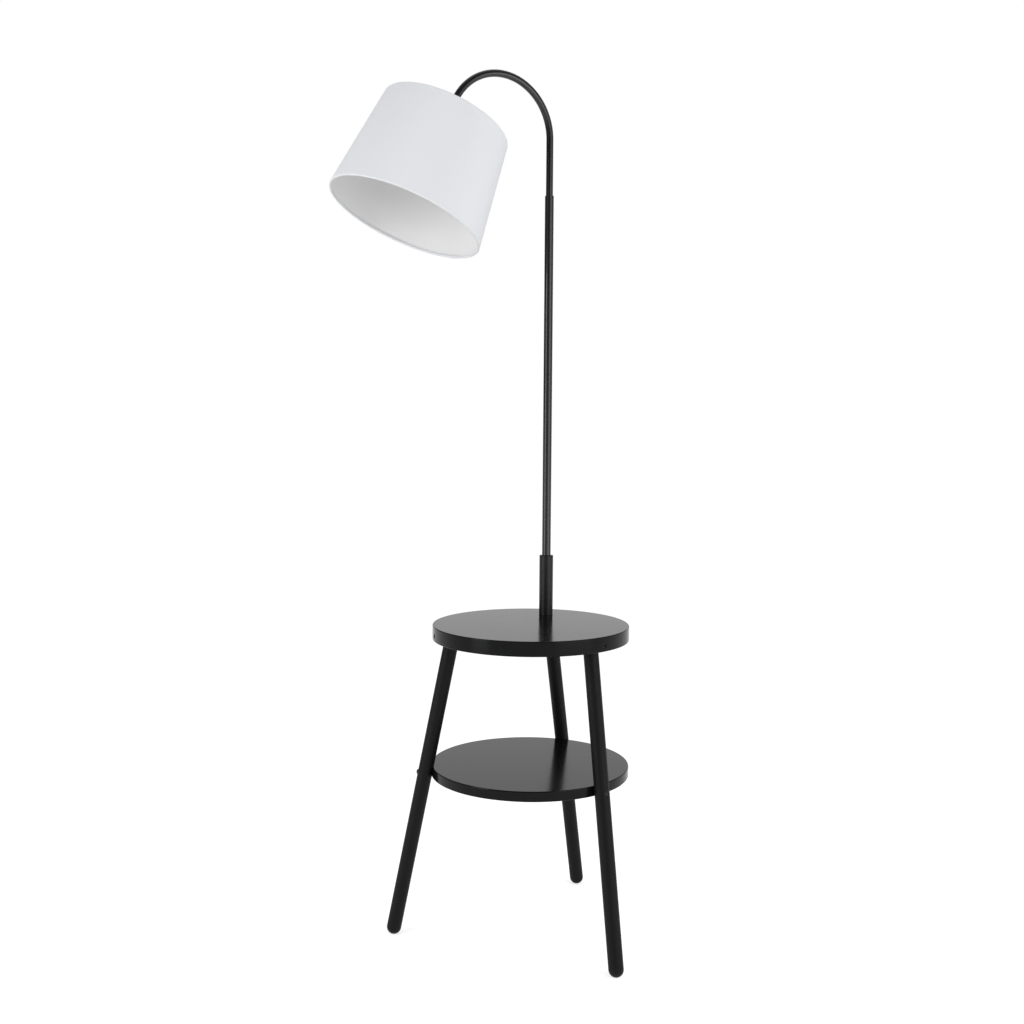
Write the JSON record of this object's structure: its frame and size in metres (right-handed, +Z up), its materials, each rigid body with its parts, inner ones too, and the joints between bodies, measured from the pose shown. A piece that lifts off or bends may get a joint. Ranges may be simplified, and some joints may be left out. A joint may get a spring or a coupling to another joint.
{
  "type": "floor lamp with table",
  "caption": "Arc floor lamp on a round side table with splayed turned legs and a lower shelf; a tilted drum shade hangs from a curved arm that swivels in the pole.",
  "frame": {"origin": "on the floor, straight under the tabletop's centre", "axes": "+Z up, -Y to the front; the pole and the back leg stand on +Y, the table's other two legs to the front left and front right"},
  "size_m": [0.537, 0.4862, 1.5373],
  "materials": {
    "black_board": "black satin lacquer on board",
    "black_leg": "black satin lacquer on turned wood",
    "black_fastener": "black satin",
    "black_tube": "black satin powder coat on steel tube",
    "zinc": "zinc plated steel",
    "black_plastic": "moulded, matte",
    "brass": "plain brass",
    "porcelain": "white insulating core",
    "lead_sheath": "black sheath",
    "white_wire": "white powder coat on wire",
    "shade_liner": "white stiff liner",
    "shade_fabric": "white plain-woven cloth"
  },
  "bodies": {
    "stand": {"tabletop": "black_board", "lower_shelf": "black_board", "leg_back": "black_leg", "leg_left": "black_leg", "leg_right": "black_leg", "rim_bolts": "black_fastener", "leg_inserts": "zinc", "shelf_bolts": "black_fastener", "shelf_inserts": "zinc", "base_tube": "black_tube", "base_cap": "black_tube", "hollow_stud": "zinc", "stud_washer": "zinc", "stud_nut": "zinc", "lead_bush": "black_plastic", "lower_pole": "black_tube", "lower_pole_foot": "zinc", "lower_pole_head": "zinc", "pole_nipple": "zinc", "upper_pole": "black_tube", "upper_pole_foot": "zinc", "swivel_seat": "zinc", "swivel_sleeve": "black_plastic", "lead_in_pole": "lead_sheath"},
    "arm": {"arm_tube": "black_tube", "arm_nipple": "zinc", "lead_in_arm": "lead_sheath", "holder_cap": "black_plastic", "cap_nut": "zinc", "holder_body": "black_plastic", "holder_core": "porcelain", "terminals": "brass", "centre_contact": "brass", "screw_shell": "brass", "shade_ring_nut": "black_plastic", "shade_carrier": "white_wire", "shade_bottom_wire": "white_wire", "shade_liner": "shade_liner", "shade_fabric": "shade_fabric"}
  },
  "joints": [
    {"name": "arm_swivel", "type": "hinge", "parent": "stand", "child": "arm", "pos_m": [0, 0.11095, 1.3], "axis": [0, 0, 1], "range_deg": [-130, 215]}
  ]
}
